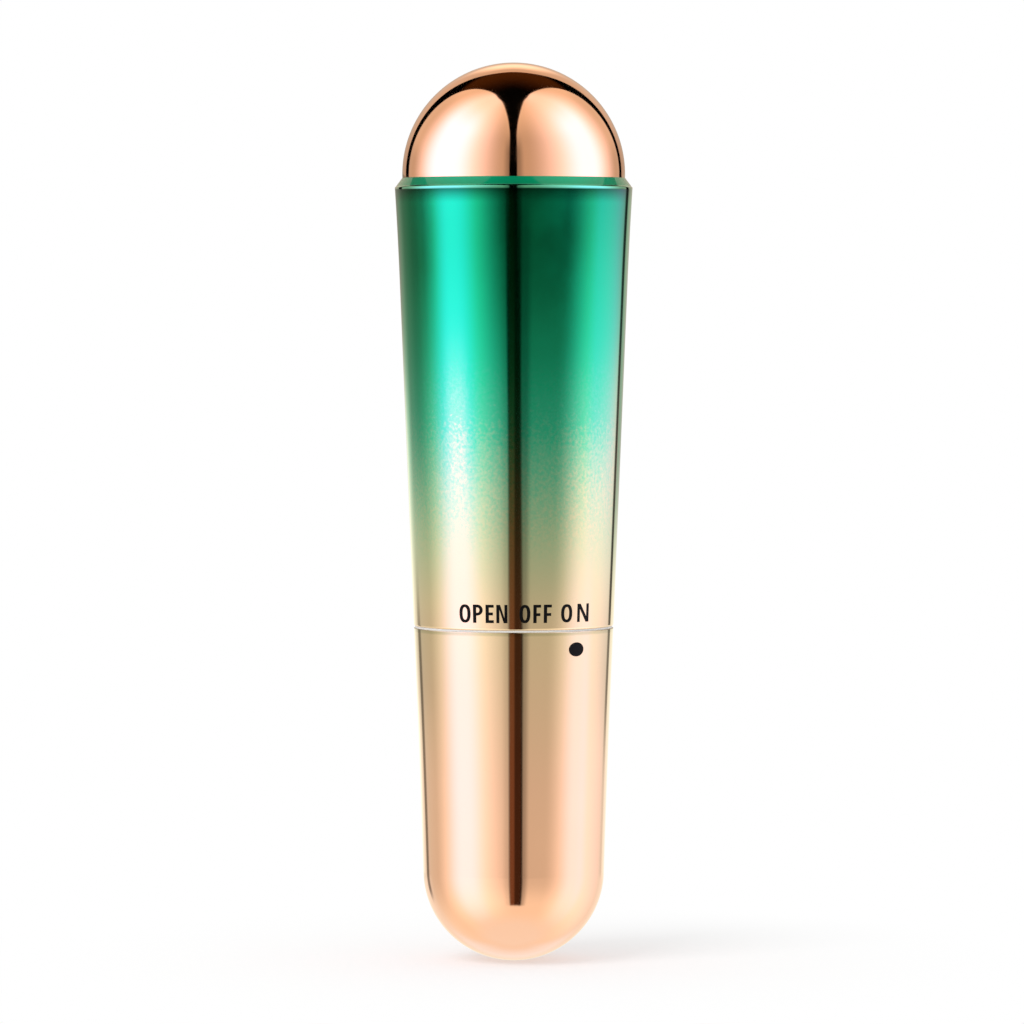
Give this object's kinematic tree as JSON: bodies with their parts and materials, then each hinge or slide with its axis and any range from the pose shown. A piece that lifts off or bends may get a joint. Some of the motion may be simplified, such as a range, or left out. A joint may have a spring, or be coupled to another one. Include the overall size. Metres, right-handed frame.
{
  "type": "eye massage wand",
  "caption": "Slim tapered massage wand with a polished vibrating dome, a twist switch at its waist and a round-ended battery casing that pulls off.",
  "frame": {"origin": "on the wand's axis, at the lowest point of the round end of the lower casing", "axes": "+Z along the wand from the lower casing to the dome; -Y is the front, with the switch marks; +X is to the right seen from the front"},
  "size_m": [0.0254, 0.0254, 0.096],
  "materials": {
    "rose_gold_shell": "gloss, metallised in a fade from champagne to rose gold under clear lacquer",
    "emerald_shell": "gloss, metallised in a speckled fade from emerald to champagne under clear lacquer",
    "rose_gold_metal": "polished, rose gold plate",
    "white_nylon": "satin, moulded",
    "ivory_acetal": "satin, moulded",
    "black_nylon": "satin, moulded",
    "black_rubber": "matte",
    "grey_silicone": "matte",
    "nickel_steel": "nickel plated",
    "spring_steel": "bright drawn",
    "contact_brass": "bright",
    "cell_wrap": "gloss printed wrap, plain",
    "ferrite": "matte",
    "armature_steel": "laminated steel with enamelled copper winding",
    "weight_metal": "sintered",
    "red_insulation": "satin",
    "black_insulation": "satin"
  },
  "bodies": {
    "lower_body": {"lower_casing": "rose_gold_shell", "casing_liner": "white_nylon", "spring_plate": "contact_brass", "battery_spring": "spring_steel"},
    "battery": {"battery_cell": "cell_wrap", "battery_positive_cap": "nickel_steel", "battery_negative_cap": "nickel_steel"},
    "switch": {"switch_ring": "ivory_acetal", "switch_wiper": "contact_brass"},
    "upper_body": {"upper_casing": "emerald_shell", "massage_head": "rose_gold_metal", "head_gasket": "grey_silicone", "inner_frame": "white_nylon", "motor_clamp": "white_nylon", "clamp_screw_right": "nickel_steel", "clamp_screw_left": "nickel_steel", "motor_sleeve": "grey_silicone", "motor_can": "nickel_steel", "motor_end_cap": "black_nylon", "motor_magnet_right": "ferrite", "motor_magnet_left": "ferrite", "motor_terminal_positive": "contact_brass", "motor_terminal_negative": "contact_brass", "positive_contact": "contact_brass", "neck_strip": "contact_brass", "motor_lead_positive": "red_insulation", "motor_lead_negative": "black_insulation", "neck_seal": "black_rubber", "ring_clip": "spring_steel"},
    "rotor": {"motor_shaft": "spring_steel", "motor_armature": "armature_steel", "motor_commutator": "contact_brass", "eccentric_weight": "weight_metal"}
  },
  "joints": [
    {"name": "casing_pull", "type": "slide", "parent": "lower_body", "child": "switch", "axis": [0, 0, 1], "range_m": [0, 0.066]},
    {"name": "switch_twist", "type": "hinge", "parent": "switch", "child": "upper_body", "pos_m": [0, 0, 0.0345], "axis": [0, 0, 1], "range_deg": [0, 57]},
    {"name": "motor_spin", "type": "hinge", "parent": "upper_body", "child": "rotor", "pos_m": [0, 0, 0.0688], "axis": [0, 0, 1], "continuous": true},
    {"name": "battery_slide", "type": "slide", "parent": "lower_body", "child": "battery", "axis": [0, 0, 1], "range_m": [0, 0.033]}
  ],
  "couplings": [
    {"joint": "battery_slide", "follows": "casing_pull", "ratio": 0.5}
  ]
}
